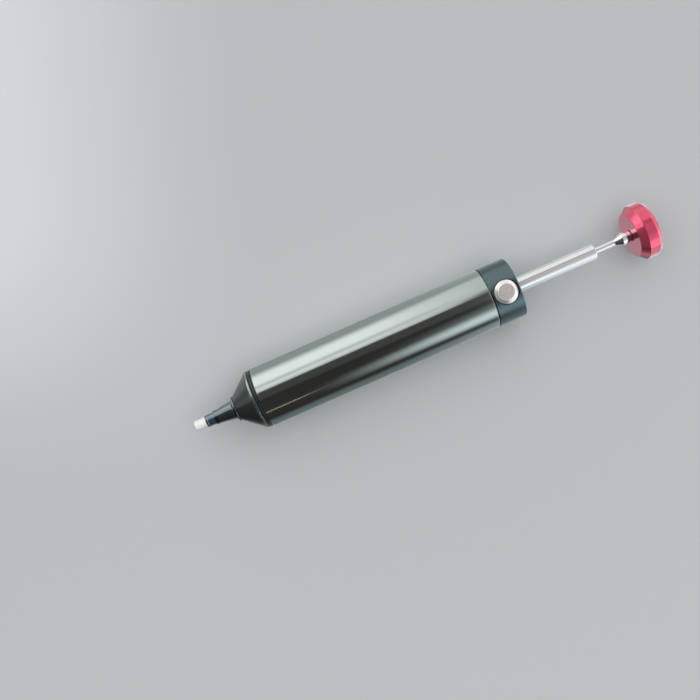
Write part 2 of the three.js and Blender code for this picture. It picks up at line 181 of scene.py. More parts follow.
@dataclass(frozen=True)
class Finish:
    """What every finish has: two close tones, a sheen, and a fine texture of a real size."""

    name: str
    colour: str
    shade: str
    roughness: float
    roughness_spread: float = 0.04
    grain: float = 0.3  # size of the texture
    relief: float = 0.002  # depth of the texture
    cloud: float = 14.0  # size of the soft patches between the two tones

    def material(self, lathe: Lathe) -> Material:
        """The finish as a material for a piece that was turned about a line.

        Args:
            lathe: The line.

        Returns:
            The material, the same one for every piece with that finish and direction.
        """
        name = f"{self.name}_{lathe.axis.name.lower()}"
        found = bpy.data.materials.get(name)
        if found:
            return found
        material = bpy.data.materials.new(name)
        material.use_nodes = True
        tree = material.node_tree
        tree.nodes.clear()
        shader = add_node(tree, "ShaderNodeBsdfPrincipled", self._surface(tree, lathe))
        add_node(tree, "ShaderNodeOutputMaterial", {"Surface": shader.outputs["BSDF"]})
        return material

    def _marks(self, tree: NodeTree, lathe: Lathe) -> tuple[NodeSocket, str]:
        """Where the texture lies, and its dimensions: here the same in every direction."""
        return lathe.centred(tree), "3D"

    def _surface(self, tree: NodeTree, lathe: Lathe) -> Inputs:
        """The shader's inputs: patches of the two tones, and a sheen and a relief from the texture.

        Args:
            tree: The material's tree.
            lathe: The line that the piece was turned about.

        Returns:
            A value or a socket for each input, by the input's name.
        """
        place, dimensions = self._marks(tree, lathe)
        fine = {"Vector": place, "Scale": 1 / (self.grain * MM), "Detail": 2.0}
        grain = add_node(tree, "ShaderNodeTexNoise", fine, noise_dimensions=dimensions).outputs["Fac"]
        soft = {"Vector": lathe.centred(tree), "Scale": 1 / (self.cloud * MM), "Detail": 3.0}
        patches = add_node(tree, "ShaderNodeTexNoise", soft).outputs["Fac"]
        tones = {0: patches, 6: linear(self.colour), 7: linear(self.shade)}
        low, high = max(0.0, self.roughness - self.roughness_spread), self.roughness + self.roughness_spread
        sheen = {"Value": grain, "To Min": low, "To Max": high}
        bump = {"Strength": 1.0, "Distance": self.relief * MM, "Height": grain}
        return {
            "Base Color": add_node(tree, "ShaderNodeMix", tones, data_type="RGBA").outputs[2],
            "Roughness": add_node(tree, "ShaderNodeMapRange", sheen).outputs["Result"],
            "Normal": add_node(tree, "ShaderNodeBump", bump).outputs["Normal"],
        }


@dataclass(frozen=True)
class TurnedMetal(Finish):
    """A metal cut on a lathe: its fine marks run round the piece."""

    metallic: float = 1.0

    def _marks(self, tree: NodeTree, lathe: Lathe) -> tuple[NodeSocket, str]:
        """Turning marks, which vary only along the axis and out from it."""
        return lathe.turned(tree), "2D"

    def _surface(self, tree: NodeTree, lathe: Lathe) -> Inputs:
        """Adds how much of the surface is bare metal."""
        return super()._surface(tree, lathe) | {"Metallic": self.metallic}


@dataclass(frozen=True)
class AnodisedAluminium(TurnedMetal):
    """Turned aluminium under a clear, dyed oxide, which dulls the metal and adds a thin gloss."""

    gloss: float = 0.0
    gloss_roughness: float = 0.2

    def _surface(self, tree: NodeTree, lathe: Lathe) -> Inputs:
        """Adds the clear oxide over the dyed metal."""
        oxide = {"Coat Weight": self.gloss, "Coat Roughness": self.gloss_roughness}
        return super()._surface(tree, lathe) | oxide


@dataclass(frozen=True)
class WornAluminium(AnodisedAluminium):
    """Dyed aluminium whose dye is gone past a radius, where its rim rubs on things."""

    worn_colour: str = "#8D9896"
    worn_from: float = 11.78
    worn_to: float = 11.81

    def _surface(self, tree: NodeTree, lathe: Lathe) -> Inputs:
        """Turns the surface to bare grey metal past the radius.

        Args:
            tree: The material's tree.
            lathe: The line that the piece was turned about.

        Returns:
            The shader's inputs.
        """
        inputs = super()._surface(tree, lathe)
        out = add_node(tree, "ShaderNodeSeparateXYZ", {"Vector": lathe.turned(tree)}).outputs["Y"]
        edge = {"Value": out, "From Min": self.worn_from * MM, "From Max": self.worn_to * MM}
        worn = add_node(tree, "ShaderNodeMapRange", edge).outputs["Result"]
        tones = {0: worn, 6: inputs["Base Color"], 7: linear(self.worn_colour)}
        mixed = add_node(tree, "ShaderNodeMix", tones, data_type="RGBA").outputs[2]
        return inputs | {"Base Color": mixed, "Metallic": worn}


@dataclass(frozen=True)
class MouldedRubber(Finish):
    """Filled rubber from a mould: dull, with a powdery bloom."""

    def _surface(self, tree: NodeTree, lathe: Lathe) -> Inputs:
        """Adds rubber's index of refraction, with the bloom as a little sheen."""
        return super()._surface(tree, lathe) | {"IOR": 1.52, "Sheen Weight": 0.15, "Sheen Roughness": 0.5}


@dataclass(frozen=True)
class TranslucentPolymer(Finish):
    """A milky polymer that light sinks into."""

    depth: float = 1.0  # how far light travels inside
    ior: float = 1.41

    def _surface(self, tree: NodeTree, lathe: Lathe) -> Inputs:
        """Adds the light that scatters below the surface."""
        return super()._surface(tree, lathe) | {
            "IOR": self.ior,
            "Subsurface Weight": 0.6,
            "Subsurface Radius": (1.0, 0.9, 0.8),
            "Subsurface Scale": self.depth * MM,
        }


# Drawn aluminium tube, satin anodised in grey: soft long reflections with a faint green cast.
BARREL_GREY = AnodisedAluminium(
    "grey_anodised_tube", "#A9B0AD", "#A1A9A6", roughness=0.1, roughness_spread=0.03, grain=0.5,
    relief=0.0004,
)
# Turned aluminium, anodised slate grey: the barrel's reflections again, darker and bluer.
SLATE = AnodisedAluminium(
    "slate_anodised_aluminium", "#5E6D71", "#566468", roughness=0.22, grain=0.35, relief=0.001
)
# Turned aluminium under a black dyed oxide, which hides the metal: dark, with pale edges.
SATIN_BLACK = AnodisedAluminium(
    "satin_black_aluminium", "#192322", "#151E1D", roughness=0.25, grain=0.35, relief=0.0005,
    metallic=0.0,
)
# The same black where handling has worn its outermost edge through to grey metal.
WORN_BLACK = WornAluminium(
    "worn_black_aluminium", "#192422", "#151F1D", roughness=0.25, grain=0.35, relief=0.0005,
    metallic=0.0,
)
# Turned aluminium, polished before it was anodised near black: sharp reflections in a dark body.
GLOSS_BLACK = AnodisedAluminium(
    "gloss_black_aluminium", "#70797B", "#667072", roughness=0.1, grain=0.3, relief=0.0006
)
# Turned aluminium, polished and dyed red: a deep red metal under a clear oxide that goes pale at the rim.
RED = AnodisedAluminium(
    "red_anodised_aluminium", "#D94669", "#CE3F60", roughness=0.14, grain=0.3, relief=0.0006,
    metallic=0.8, gloss=1.0,
)
# Heat-blued steel: a blue-grey oxide film over a smooth metal.
BLUED = TurnedMetal(
    "blued_steel", "#77828B", "#5C6A7C", roughness=0.14, grain=0.3, relief=0.0006, cloud=2.0,
    metallic=0.85,
)
# Hard chromed, polished steel rod: white stripes of light with barely a mark.
POLISHED = TurnedMetal("polished_steel", "#E2E3E4", "#D8D9DA", roughness=0.1, grain=0.3, relief=0.0005)
# Face-turned stainless steel, lightly blasted: fine rings, half matt, that blur what they reflect.
FACED_STEEL = TurnedMetal(
    "face_turned_steel", "#E4E2E0", "#CFCCCA", roughness=0.26, grain=0.4, relief=0.0007, cloud=2.0,
    metallic=0.78,
)
# Patented spring wire, drawn and lightly oiled: grey with a soft shine.
SPRING_WIRE = TurnedMetal(
    "spring_wire", "#9DA0A2", "#85888A", roughness=0.3, roughness_spread=0.08, grain=0.4, relief=0.002,
    cloud=3.0,
)
# Bright zinc plate over stamped or turned steel: pale, cool and slightly patchy.
ZINC = TurnedMetal(
    "zinc_plated_steel", "#C3C6C6", "#AEB3B6", roughness=0.34, roughness_spread=0.08, grain=0.3,
    relief=0.002, cloud=2.0,
)
# Nitrile rubber: near black, dull, with a faint bloom.
RUBBER = MouldedRubber(
    "black_nitrile_rubber", "#18191B", "#232426", roughness=0.55, roughness_spread=0.08, grain=0.25,
    relief=0.006,
)
# Natural acetal, turned: milky white with a waxy shine.
ACETAL = TranslucentPolymer(
    "white_acetal", "#E6E4DC", "#DCD9CF", roughness=0.42, roughness_spread=0.06, depth=0.8, ior=1.48
)
# Extruded silicone tube: soft, milky and faintly see-through at its cut end.
SILICONE = TranslucentPolymer(
    "white_silicone", "#E6E7E5", "#DBDCDA", roughness=0.45, roughness_spread=0.06, grain=0.5,
    relief=0.004, cloud=3.0, depth=1.2,
)


# ---- Shaping


@dataclass(frozen=True)
class Extent:
    """Where a node that was turned about X lies: its two ends and its radius, in millimetres."""

    front: float
    rear: float
    radius: float

    @classmethod
    def of(cls, node: str) -> "Extent":
        """Reads a node's extent from the frame."""
        low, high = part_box(node)
        return cls(low.x / MM, high.x / MM, (high.y - low.y) / 2 / MM)


@dataclass(frozen=True)
class Corner:
    """A corner of an outline: its place along the axis, its radius, and how far it is rounded."""

    along: float
    radius: float
    soft: float = 0.0


@dataclass(frozen=True)
class Turning:
    """A solid made by turning an outline about a line, as on a lathe.

    An outline that starts and ends on the line has poles there; any other one closes on itself.
    """

    corners: tuple[Corner, ...]
    lathe: Lathe
    steps: int = 128

    def solid(self) -> BMesh:
        """The turned solid, with rounded edges and faces that point out."""
        bm = bmesh.new()
        self._outline(bm)
        bmesh.ops.spin(
            bm, geom=bm.verts[:] + bm.edges[:], cent=self.lathe.centre * MM,
            axis=self.lathe.direction(), angle=FULL_TURN, steps=self.steps, use_merge=True,
        )
        bmesh.ops.remove_doubles(bm, verts=bm.verts[:], dist=MERGE * MM)
        bmesh.ops.recalc_face_normals(bm, faces=bm.faces[:])
        return bm

    def _outline(self, bm: BMesh) -> None:
        """Draws the outline as a wire and rounds its corners.

        Args:
            bm: The empty bmesh that it is drawn in.
        """
        closed = self.corners[0].radius > 0
        rounded: dict[float, list[BMVert]] = {}
        wire: list[BMVert] = []
        for corner, pins in zip(self.corners, self._pins(closed)):
            before, after = pins
            wire += [bm.verts.new(self.lathe.point(*before))] if before else []
            wire.append(bm.verts.new(self.lathe.point(corner.along, corner.radius)))
            if corner.soft:
                rounded.setdefault(corner.soft, []).append(wire[-1])
            wire += [bm.verts.new(self.lathe.point(*after))] if after else []
        for first, second in zip(wire, wire[1:] + (wire[:1] if closed else [])):
            bm.edges.new((first, second))
        for soft, verts in rounded.items():
            arc = {"offset": soft * MM, "segments": ROUND_SEGMENTS, "profile": 0.5, "material": -1}
            bmesh.ops.bevel(bm, geom=verts, affect="VERTICES", **arc)

    def _pins(self, closed: bool) -> list[tuple[Place | None, ...]]:
        """The points just past each rounded corner, where there is room for them.

        Args:
            closed: Whether the outline closes on itself.

        Returns:
            For each corner, the point before it and the point after it, or None.
        """
        found = []
        count = len(self.corners)
        for i, corner in enumerate(self.corners):
            here = Vector((corner.along, corner.radius))
            pair = []
            for j in (i - 1, i + 1):
                other = self.corners[j % count]
                there = Vector((other.along, other.radius))
                reach = corner.soft + HOLD
                room = (there - here).length - reach - other.soft - HOLD
                at_end = not closed and not 0 <= j < count
                use = corner.soft > 0 and room > 0 and not at_end
                pair.append(tuple(here + (there - here).normalized() * reach) if use else None)
            found.append(tuple(pair))
        return found


def curve(start: Place, bend: Place, end: Place) -> list[Corner]:
    """A smooth outline stretch that leaves its start and reaches its end towards one bend point.

    Args:
        start: Where it starts, along and out.
        bend: The point that both ends aim at.
        end: Where it ends.

    Returns:
        The stretch's corners, its ends among them.
    """
    pieces = 8
    corners = []
    for i in range(pieces + 1):
        t = i / pieces
        shares = ((1 - t) ** 2, 2 * t * (1 - t), t**2)
        along, radius = (sum(s * p[k] for s, p in zip(shares, (start, bend, end))) for k in (0, 1))
        corners.append(Corner(along, radius))
    return corners


def to_scene(name: str, data: bpy.types.ID) -> Object:
    """Puts a mesh, a light or a camera in the scene as an object at the origin.

    Args:
        name: The object's name.
        data: What it holds.

    Returns:
        The object.
    """
    found = bpy.data.objects.new(name, data)
    bpy.context.scene.collection.objects.link(found)
    return found


def to_object(name: str, bm: BMesh) -> Object:
    """Puts a bmesh, which is freed, in the scene.

    Args:
        name: The object's name.
        bm: The shape.

    Returns:
        The object.
    """
    mesh = bpy.data.meshes.new(name)
    bm.to_mesh(mesh)
    bm.free()
    return to_scene(name, mesh)


def carve(shape: Object, tool: BMesh) -> None:
    """Cuts a tool out of an object and frees it.

    Args:
        shape: The object that is cut.
        tool: The closed solid that is taken away.
    """
    cutter = to_object("cutter", tool)
    step = shape.modifiers.new("cut", "BOOLEAN")
    step.object = cutter
    step.operation = "DIFFERENCE"
    step.solver = "EXACT"
    cut = shape.evaluated_get(bpy.context.evaluated_depsgraph_get())
    shape.data = bpy.data.meshes.new_from_object(cut)
    shape.modifiers.clear()
    bpy.data.objects.remove(cutter)


def shade(mesh: Mesh) -> None:
    """Smooths a mesh's shading, apart from its sharp edges."""
    bm = bmesh.new()
    bm.from_mesh(mesh)
    bmesh.ops.remove_doubles(bm, verts=bm.verts[:], dist=MERGE * MM)
    for face in bm.faces:
        face.smooth = True
    for edge in bm.edges:
        edge.smooth = len(edge.link_faces) == 2 and edge.calc_face_angle() < SHARP_ANGLE
    bm.to_mesh(mesh)
    bm.free()


@dataclass(frozen=True)
class Coil:
    """A compression spring with closed end turns."""

    start: Vector
    direction: Vector
    length: float
    radius: float
    wire: float
    turns: float
    end_turns: float
    pitch_of_ends: float = 1.15  # rise of an end turn, in wire diameters
    wire_sides: int = 14
    steps_per_turn: int = 40

    def solid(self) -> BMesh:
        """The wound wire, closed at both ends."""
        bm = bmesh.new()
        side = self.direction.orthogonal().normalized()
        middle = self.start + self.direction * (self.wire / 2) + side * self.radius
        facing = self.direction.cross(side).to_track_quat("Z", "Y").to_matrix().to_4x4()
        place = Matrix.Translation(middle * MM) @ facing
        size = {"segments": self.wire_sides, "radius": self.wire / 2 * MM}
        section = bmesh.ops.create_circle(bm, matrix=place, **size)["verts"]
        last = section + list({edge for vert in section for edge in vert.link_edges})
        bmesh.ops.contextual_create(bm, geom=[g for g in last if isinstance(g, BMEdge)])
        end_rise = self.end_turns * self.wire * self.pitch_of_ends
        live = self.turns - 2 * self.end_turns
        live_rise = self.length - self.wire - 2 * end_rise
        for turns, rise in ((self.end_turns, end_rise), (live, live_rise), (self.end_turns, end_rise)):
            steps = round(turns * self.steps_per_turn)
            last = bmesh.ops.spin(
                bm, geom=last, cent=self.start * MM, axis=self.direction,
                dvec=self.direction * rise / steps * MM, angle=FULL_TURN * turns, steps=steps,
            )["geom_last"]
        bmesh.ops.contextual_create(bm, geom=[g for g in last if isinstance(g, BMEdge)])
        bmesh.ops.recalc_face_normals(bm, faces=bm.faces[:])
        return bm


def pump_axis() -> Vector:
    """The point where the pump's axis meets the frame's upright plane, in millimetres."""
    low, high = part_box("barrel")
    return Vector((0, 0, (low.z + high.z) / 2 / MM))


@dataclass(frozen=True)
class Piece:
    """A finished piece: its name, the node it stands for, its body, finish and record slot."""

    name: str
    node: str
    finish: Finish
    slot: str
    body: Body = Body.HOUSING

    def place(self, shape: Object, lathe: Lathe) -> Object:
        """Dresses a shape and ties it to its body.

        Args:
            shape: The finished mesh.
            lathe: The line that it was turned about.

        Returns:
            The same object.
        """
        shade(shape.data)
        shape.data.materials.clear()
        shape.data.materials.append(self.finish.material(lathe))
        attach(shape, self.body.value)
        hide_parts(self.node)
        LOG.info("%s: %d faces, rides on %s", self.name, len(shape.data.polygons), self.body.value)
        return shape

    def turn(
        self, *corners: Corner, steps: int = 128, lathe: Lathe | None = None, cut: BMesh | None = None
    ) -> Object:
        """Turns the piece from its outline and places it.

        Args:
            corners: The outline.
            steps: The flats round it.
            lathe: The line it is turned about, if that isn't the pump's axis.
            cut: A solid that is cut out of it.

        Returns:
            The placed object.
        """
        lathe = lathe or Lathe(pump_axis())
        shape = to_object(self.name, Turning(corners, lathe, steps).solid())
        if cut:
            carve(shape, cut)
        return self.place(shape, lathe)

    def turn_ring(self, bore: float, soft: float, steps: int = 128) -> Object:
        """Turns the piece as a plain ring with rounded edges.

        Args:
            bore: The ring's inner radius.
            soft: How far its edges are rounded.
            steps: The flats round it.

        Returns:
            The placed object.
        """
        e = Extent.of(self.node)
        places = ((e.rear, bore), (e.rear, e.radius), (e.front, e.radius), (e.front, bore))
        return self.turn(*(Corner(*place, soft) for place in places), steps=steps)


def round_section(extent: Extent) -> tuple[Corner, ...]:
    """The outline of an O-ring: a circle as wide as the ring is long.

    Args:
        extent: The O-ring's ends and outer radius.

    Returns:
        The circle's corners.
    """
    half = (extent.rear - extent.front) / 2
    middle = (extent.rear + extent.front) / 2
    angles = [FULL_TURN * i / O_RING_SIDES for i in range(O_RING_SIDES)]
    return tuple(
        Corner(middle + half * math.cos(a), extent.radius - half + half * math.sin(a)) for a in angles
    )


# ---- The suction end


@dataclass(frozen=True)
class SuctionEnd:
    """The soft tube in its ferrule, the tapered neck, and the cone that screws off."""

    tube_bore: float = 1.15
    ferrule_bore: float = 2.15
    ferrule_held: float = 3.0
    ferrule_lip: float = 0.7
    groove_length: float = 0.4
    ferrule_bead: float = 0.12
    neck_rear_radius: float = 3.85
    neck_front_radius: float = 2.85
    taper: float = 6.5
    flare: float = 1.2
    flare_bend: float = 0.4  # where along the flare its two ends aim, as a share of it
    land: float = 0.6
    stem: float = 5.4
    bore: float = 1.45
    stem_radius: float = 3.2
    spigot: float = 7.8
    spigot_radius: float = 9.0
    spigot_bore: float = 6.8
    bore_start: float = 0.4
    band: float = 0.85
    groove_outer: float = 11.65
    groove_inner: float = 10.45
    groove_depth: float = 0.6

    def build(self) -> None:
        """Builds the four pieces."""
        self.tube()
        self.ferrule()
        self.neck()
        self.cone()

    def tube(self) -> None:
        """The silicone tube, cut square with a softened rim."""
        piece = Piece("suction_tube", "nozzle_tube", SILICONE, "white_silicone")
        e = Extent.of(piece.node)
        piece.turn(
            Corner(e.rear, self.tube_bore, 0.1), Corner(e.rear, e.radius, 0.1),
            Corner(e.front, e.radius, 0.35), Corner(e.front, self.tube_bore, 0.15), steps=72,
        )

    def ferrule(self) -> None:
        """The thin steel ferrule, with a shallow rolled groove behind its rim."""
        piece = Piece("blued_ferrule", "tip_ferrule", BLUED, "blued_steel")
        e = Extent.of(piece.node)
        shown = e.rear - self.ferrule_held
        groove = e.front + self.ferrule_lip
        piece.turn(
            Corner(e.rear, self.ferrule_bore), Corner(e.rear, e.radius, 0.08), Corner(shown, e.radius),
            Corner(groove + self.groove_length, e.radius, 0.06),
            Corner(groove + self.groove_length / 2, e.radius - self.ferrule_bead, 0.06),
            Corner(groove, e.radius, 0.06),
            Corner(e.front, e.radius, 0.16), Corner(e.front, self.ferrule_bore, 0.06), steps=72,
        )

    def neck(self) -> None:
        """The tapered neck: it flares to a thin lip against the cone."""
        piece = Piece("tapered_neck", "nozzle_neck", GLOSS_BLACK, "dark_anodised_aluminium")
        e = Extent.of(piece.node)
        lip = e.rear - self.stem
        flare_rear = lip - self.land
        flare_front = flare_rear - self.flare
        socket = Extent.of("tip_ferrule").radius + FIT
        tube_socket = Extent.of("nozzle_tube").radius + FIT
        socket_rear = e.front + self.ferrule_held + FIT
        tube_rear = Extent.of("nozzle_tube").rear + FIT
        flare = curve(
            (flare_rear, e.radius), (flare_front + self.flare_bend * self.flare, self.neck_rear_radius),
            (flare_front, self.neck_rear_radius),
        )
        piece.turn(
            Corner(e.rear, self.bore), Corner(e.rear, self.stem_radius, 0.2),
            Corner(lip, self.stem_radius), Corner(lip, e.radius, 0.22), *flare,
            Corner(flare_front - self.taper, self.neck_front_radius, 0.25),
            Corner(e.front, self.neck_front_radius, 0.12), Corner(e.front, socket),
            Corner(socket_rear, socket), Corner(socket_rear, tube_socket),
            Corner(tube_rear, tube_socket), Corner(tube_rear, self.bore),
        )

    def cone(self) -> None:
        """The screw-off cone: a short band at its base, and a groove for the O-ring behind."""
        piece = Piece("screw_cone", "nozzle_cone", WORN_BLACK, "dark_anodised_aluminium")
        e = Extent.of(piece.node)
        rear = e.rear - self.spigot
        base = rear - self.band
        tip_radius = Extent.of("nozzle_neck").radius
        socket = self.stem_radius + FIT
        socket_rear = Extent.of("nozzle_neck").rear + FIT
        piece.turn(
            Corner(e.rear, self.spigot_bore, 0.15), Corner(e.rear, self.spigot_radius, 0.15),
            Corner(rear, self.spigot_radius), Corner(rear, self.groove_inner),
            Corner(rear - self.groove_depth, self.groove_inner),
            Corner(rear - self.groove_depth, self.groove_outer), Corner(rear, self.groove_outer),
            Corner(rear, e.radius, 0.08), Corner(base, e.radius, 0.45),
            Corner(e.front, tip_radius, 0.1), Corner(e.front, socket), Corner(socket_rear, socket),
            Corner(socket_rear, self.bore + FIT), Corner(socket_rear + FIT, self.bore + FIT),
            Corner(rear + self.bore_start, self.spigot_bore), steps=192,
        )


# ---- The barrel and what stays still in it


@dataclass(frozen=True)
class BarrelGroup:
    """The barrel with its collar, front O-ring, spring seat, main spring and rubber bumper."""

    bore: float = 10.5
    rear_edge: float = 0.15
    front_edge: float = 0.18
    flange: float = 0.7
    relief_radius: float = 11.4
    collar_bore: float = 9.1
    sleeve_radius: float = 10.4
    seat_width: float = 3.2
    bumper_bore: float = 3.3
    spring_wire: float = 1.4
    spring_turns: float = 12.5
    spring_end_turns: float = 1.0
    spring_pushed: float = 45.0

    def build(self) -> None:
        """Builds the six pieces."""
        self.barrel()
        self.collar()
        self.front_ring()
        self.seat()
        self.spring()
        self.bumper()

    def barrel(self) -> None:
        """The tube, its outer edges just broken."""
        piece = Piece("barrel_shell", "barrel", BARREL_GREY, "grey_anodised_aluminium")
        e = Extent.of(piece.node)
        piece.turn(
            Corner(e.rear, self.bore, 0.1), Corner(e.rear, e.radius, self.rear_edge),
            Corner(e.front, e.radius, self.front_edge), Corner(e.front, self.bore, 0.1), steps=256,
        )

    def collar(self) -> None:
        """The collar: a thin flange in front of the barrel, then a narrow relief."""
        piece = Piece("barrel_collar", "front_collar", SATIN_BLACK, "dark_anodised_aluminium")
        e = Extent.of(piece.node)
        barrel_front = Extent.of("barrel").front
        piece.turn(
            Corner(e.rear, self.collar_bore, 0.1), Corner(e.rear, self.sleeve_radius, 0.15),
            Corner(barrel_front - FIT, self.sleeve_radius),
            Corner(barrel_front - FIT, self.relief_radius),
            Corner(e.front + self.flange, self.relief_radius),
            Corner(e.front + self.flange, e.radius, 0.1), Corner(e.front, e.radius, 0.14),
            Corner(e.front, self.collar_bore, 0.1), steps=192,
        )

    def front_ring(self) -> None:
        """The O-ring that seals the cone on the collar."""
        piece = Piece("cone_o_ring", "front_o_ring", RUBBER, "black_rubber")
        piece.turn(*round_section(Extent.of(piece.node)))

    def seat(self) -> None:
        """The ring that the main spring stands on."""
        piece = Piece("spring_seat_ring", "spring_seat", ZINC, "zinc_plated_steel")
        piece.turn_ring(Extent.of(piece.node).radius - self.seat_width, soft=0.12)

    def spring(self) -> None:
        """The main spring, wound from its seat to the thrust washer."""
        piece = Piece("main_spring_coil", "main_spring", SPRING_WIRE, "spring_steel")
        seat = Extent.of("spring_seat").rear + FIT
        length = Extent.of("thrust_washer").front - FIT - seat
        radius = Extent.of(piece.node).radius - self.spring_wire / 2
        lathe = Lathe(pump_axis())
        start = lathe.centre + Vector((seat, 0, 0))
        winding = (self.spring_wire, self.spring_turns, self.spring_end_turns)
        coil = Coil(start, lathe.direction(), length, radius, *winding)
        shape = piece.place(to_object(piece.name, coil.solid()), lathe)
        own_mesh(shape)

    def bumper(self) -> None:
        """The rubber ring that stops the piston at the back."""
        piece = Piece("rubber_bumper", "rear_bumper", RUBBER, "black_rubber")
        piece.turn_ring(self.bumper_bore, soft=0.25)


# ---- The rear cap and its release button


@dataclass(frozen=True)
class ReleaseGroup:
    """The rear cap, the bush in its back, and the button with its spring."""

    rod_bore: float = 3.3
    spigot: float = 8.4
    spigot_radius: float = 10.4
    relief: float = 0.3
    relief_depth: float = 0.7
    bush_socket: float = 3.7
    bush_bore: float = 3.3
    pin_radius: float = 4.15
    head_radius: float = 4.65
    head_length: float = 2.6
    press: float = 1.8
    sunk: float = 0.1
    floor: float = 2.1
    dish_radius: float = 3.1
    bevel_drop: float = 0.62
    dish_depth: float = 0.05
    dish_flat: float = 0.3
    dish_bend: float = 0.7  # where its curve's two ends aim, as a share of its radius
    dish_lip: float = 0.06
    dish_edge: float = 0.08
    pocket_radius: float = 3.0
    pocket_depth: float = 1.5
    spring_wire: float = 0.5
    spring_turns: float = 4.0
    spring_end_turns: float = 0.75
    overcut: float = 1.0

    def build(self) -> None:
        """Builds the four pieces."""
        self.cap()
        self.bush()
        self.button()
        self.spring()

    @staticmethod
    def _button_lathe() -> Lathe:
        """The button's upright line, from the point where it crosses the pump's axis."""
        low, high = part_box("release_button")
        return Lathe(pump_axis() + Vector(((low.x + high.x) / 2 / MM, 0, 0)), Axis.UPRIGHT)

    def cap(self) -> None:
        """The cap, bored across for the button, with a shadow gap where it meets the barrel."""
        piece = Piece("cap_body", "rear_cap", SLATE, "slate_anodised_aluminium")
        e = Extent.of(piece.node)
        front = e.front + self.spigot
        button = self._button_lathe()
        piece.turn(
            Corner(e.rear, self.bush_socket, 0.12), Corner(e.rear, e.radius, 0.4),
            Corner(front + self.relief, e.radius, 0.12),
            Corner(front + self.relief, e.radius - self.relief_depth),
            Corner(front, e.radius - self.relief_depth), Corner(front, self.spigot_radius),
            Corner(e.front, self.spigot_radius, 0.2), Corner(e.front, self.rod_bore, 0.2),
            Corner(button.centre.x, self.rod_bore), Corner(button.centre.x, self.bush_socket),
            steps=288, cut=self._well(e.radius, button),
        )

    def _well(self, radius: float, lathe: Lathe) -> BMesh:
        """The stepped hole that the button slides in.

        Args:
            radius: The cap's radius.
            lathe: The button's line.

        Returns:
            The hole as a solid.
        """
        step = radius - self.sunk - self.head_length - self.press - RUN
        outline = (
            Corner(radius + self.overcut, 0), Corner(radius + self.overcut, self.head_radius + RUN),
            Corner(step, self.head_radius + RUN), Corner(step, self.pin_radius + RUN),
            Corner(self.floor - radius, self.pin_radius + RUN), Corner(self.floor - radius, 0),
        )
        return Turning(outline, lathe, steps=96).solid()

    def bush(self) -> None:
        """The polished bush that the rod runs in."""
        piece = Piece("bush_ring", "rod_bush", POLISHED, "polished_steel")
        piece.turn_ring(self.bush_bore, soft=0.08, steps=96)

    def button(self) -> None:
        """The button: a broad bevel round a shallow dish, on a pin with the rod's slot across."""
        piece = Piece("button_body", "release_button", FACED_STEEL, "polished_steel", Body.BUTTON)
        low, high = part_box(piece.node)
        lathe = self._button_lathe()
        top, bottom = high.z / MM - lathe.centre.z, low.z / MM - lathe.centre.z
        dish = top - self.dish_depth
        bend = (dish, self.dish_bend * self.dish_radius)
        piece.turn(
            Corner(dish, 0),
            *curve((dish, self.dish_flat), bend, (top - self.dish_lip, self.dish_radius)),
            Corner(top, self.dish_radius + self.dish_edge, 0.03),
            Corner(top - self.bevel_drop, self.head_radius, 0.1),
            Corner(top - self.head_length, self.head_radius, 0.1),
            Corner(top - self.head_length, self.pin_radius), Corner(bottom, self.pin_radius, 0.2),
            Corner(bottom, self.pocket_radius), Corner(bottom + self.pocket_depth, self.pocket_radius),
            Corner(bottom + self.pocket_depth, 0), steps=96, lathe=lathe, cut=self._slot(lathe.centre),
        )

    def _slot(self, place: Vector) -> BMesh:
        """The slot across the button: as wide as the rod, and higher by the button's travel.

        Args:
            place: The button's middle, on the pump's axis.

        Returns:
            The slot as a solid.
        """
        bm = bmesh.new()
        reach = self.pin_radius + self.overcut
        facing = Matrix.Rotation(math.pi / 2, 4, "Y")
        start = Matrix.Translation((place - Vector((reach, 0, 0))) * MM)
        size = {"cap_ends": True, "segments": 64, "radius": self.rod_bore * MM}
        section = bmesh.ops.create_circle(bm, matrix=start @ facing, **size)["verts"]
        upper = [v for v in section if v.co.z > place.z * MM + MERGE * MM]
        bmesh.ops.translate(bm, verts=upper, vec=(0, 0, self.press * MM))
        grown = bmesh.ops.extrude_face_region(bm, geom=bm.faces[:])["geom"]
        far = [g for g in grown if isinstance(g, BMVert)]
        bmesh.ops.translate(bm, verts=far, vec=(2 * reach * MM, 0, 0))
        bmesh.ops.recalc_face_normals(bm, faces=bm.faces[:])
        return bm

    def spring(self) -> None:
        """The small spring under the button."""
        piece = Piece("button_coil", "button_spring", SPRING_WIRE, "spring_steel")
        low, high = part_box(piece.node)
        lathe = self._button_lathe()
        radius = (high.x - low.x) / 2 / MM - self.spring_wire / 2
        start = Vector((lathe.centre.x, lathe.centre.y, low.z / MM))
        length = (high.z - low.z) / MM
        winding = (self.spring_wire, self.spring_turns, self.spring_end_turns)
        coil = Coil(start, lathe.direction(), length, radius, *winding, wire_sides=10)
        shape = piece.place(to_object(piece.name, coil.solid()), lathe)
        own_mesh(shape)


# ---- The plunger


